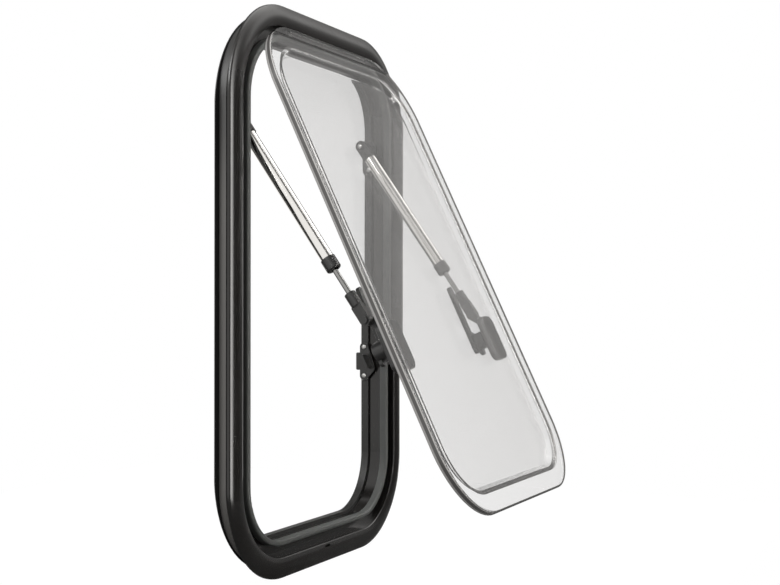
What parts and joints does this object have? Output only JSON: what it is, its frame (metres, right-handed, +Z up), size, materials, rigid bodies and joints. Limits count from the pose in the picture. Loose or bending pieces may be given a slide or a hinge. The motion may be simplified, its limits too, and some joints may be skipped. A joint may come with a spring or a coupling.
{
  "type": "caravan window",
  "caption": "Upright top-hung caravan window: rounded black frame and clamp ring, clear acrylic sash swung out on telescopic stays, with turning lever latches.",
  "frame": {"origin": "middle of the window on the wall flange's rear face, where it lies on the wall's outside skin", "axes": "+X across the window to the right seen from outside, +Y into the vehicle, +Z up"},
  "size_m": [0.46, 0.3263, 0.7],
  "materials": {
    "frame_coating": "black satin coating on an aluminium extrusion",
    "ring_moulding": "black fine-grained moulding",
    "seal_rubber": "black matt rubber",
    "strip_moulding": "tinted clear strip",
    "outer_acrylic": "lightly tinted clear acrylic, polished",
    "inner_acrylic": "lightly tinted clear acrylic, vacuum formed",
    "fitting_plastic": "black glass-filled moulding, semi-matt",
    "stay_chrome": "bright plated tube",
    "rod_steel": "plain drawn steel rod"
  },
  "bodies": {
    "frame": {"outer_frame": "frame_coating", "clamp_ring": "ring_moulding", "seal": "seal_rubber", "hinge_rail": "frame_coating", "stay_bracket_left": "fitting_plastic", "catch_left": "fitting_plastic", "stay_bracket_right": "fitting_plastic", "catch_right": "fitting_plastic"},
    "sash": {"hinge_strip": "strip_moulding", "outer_pane": "outer_acrylic", "inner_pane": "inner_acrylic", "latch_base_left": "fitting_plastic", "latch_base_right": "fitting_plastic"},
    "stay_upper_left": {"stay_head_left": "fitting_plastic", "stay_tube_left": "stay_chrome", "stay_cap_left": "fitting_plastic"},
    "stay_lower_left": {"stay_rod_left": "rod_steel", "stay_clevis_left": "fitting_plastic"},
    "lever_left": {"lever_left": "fitting_plastic"},
    "stay_upper_right": {"stay_head_right": "fitting_plastic", "stay_tube_right": "stay_chrome", "stay_cap_right": "fitting_plastic"},
    "stay_lower_right": {"stay_rod_right": "rod_steel", "stay_clevis_right": "fitting_plastic"},
    "lever_right": {"lever_right": "fitting_plastic"}
  },
  "joints": [
    {"name": "sash_hinge", "type": "hinge", "parent": "frame", "child": "sash", "pos_m": [0, -0.0021, 0.316], "axis": [1, 0, 0], "range_deg": [0, 25.5]},
    {"name": "stay_top_left", "type": "hinge", "parent": "frame", "child": "stay_upper_left", "pos_m": [-0.158, 0.027, 0.205], "axis": [1, 0, 0], "range_deg": [0, 34.28]},
    {"name": "stay_foot_left", "type": "hinge", "parent": "sash", "child": "stay_lower_left", "pos_m": [-0.158, -0.14169, -0.03333], "axis": [1, 0, 0], "range_deg": [0, 8.78]},
    {"name": "lever_turn_left", "type": "hinge", "parent": "sash", "child": "lever_left", "pos_m": [-0.15, -0.16634, -0.06434], "axis": [0, 0.9026, -0.4305], "range_deg": [0, 90]},
    {"name": "stay_top_right", "type": "hinge", "parent": "frame", "child": "stay_upper_right", "pos_m": [0.158, 0.027, 0.205], "axis": [1, 0, 0], "range_deg": [0, 34.28]},
    {"name": "stay_foot_right", "type": "hinge", "parent": "sash", "child": "stay_lower_right", "pos_m": [0.158, -0.14169, -0.03333], "axis": [1, 0, 0], "range_deg": [0, 8.78]},
    {"name": "lever_turn_right", "type": "hinge", "parent": "sash", "child": "lever_right", "pos_m": [0.15, -0.16634, -0.06434], "axis": [0, -0.9026, 0.4305], "range_deg": [0, 90]}
  ],
  "couplings": [
    {"joint": "stay_top_left", "follows": "sash_hinge", "ratio": 1.344},
    {"joint": "stay_foot_left", "follows": "sash_hinge", "ratio": 0.344},
    {"joint": "stay_top_right", "follows": "sash_hinge", "ratio": 1.344},
    {"joint": "stay_foot_right", "follows": "sash_hinge", "ratio": 0.344}
  ]
}
